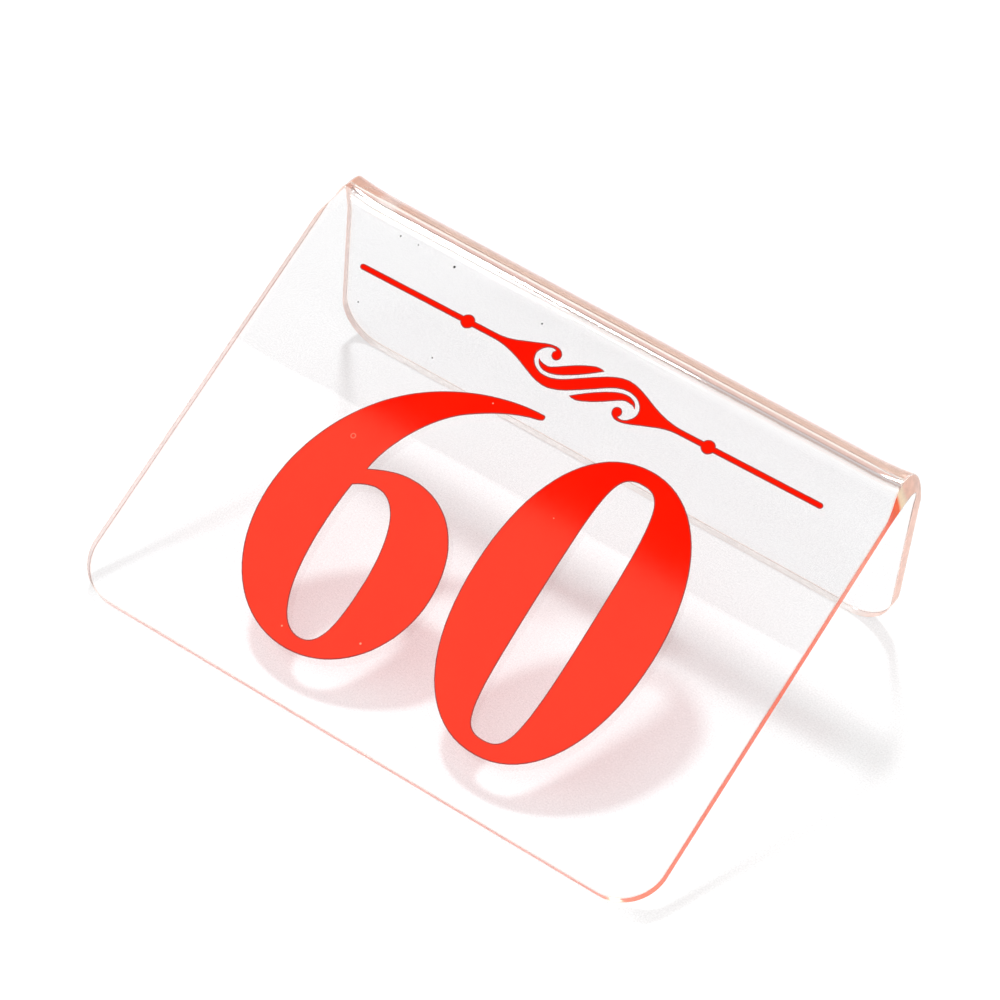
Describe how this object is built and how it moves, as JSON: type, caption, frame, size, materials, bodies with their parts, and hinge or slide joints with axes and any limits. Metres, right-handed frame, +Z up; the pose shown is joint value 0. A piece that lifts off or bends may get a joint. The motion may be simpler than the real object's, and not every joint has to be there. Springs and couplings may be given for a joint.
{
  "type": "table number holder",
  "caption": "Free-standing clear acrylic table number: a sheet heat-bent into a low uneven tent, with red numerals and a scroll flourish on its sloping front.",
  "frame": {"origin": "centre of the bounding box on the table, z = 0 at the feet", "axes": "+X along the bend, to the reader's right; the numbered front panel faces -Y and slopes up towards +Y; +Z up"},
  "size_m": [0.1206, 0.086, 0.0426],
  "materials": {
    "clear_acrylic": "clear polished acrylic sheet, refractive index about 1.49, cut edges polished and slightly rounded, tinted coral where they carry light from the red film",
    "red_film": "opaque warm red film, satin gloss, with a thin darker cut edge"
  },
  "bodies": {
    "root": {"acrylic_sheet": "clear_acrylic", "digit_6": "red_film", "digit_0": "red_film", "ornament_scroll": "red_film", "ornament_leaf_left": "red_film", "ornament_leaf_right": "red_film"}
  },
  "joints": []
}
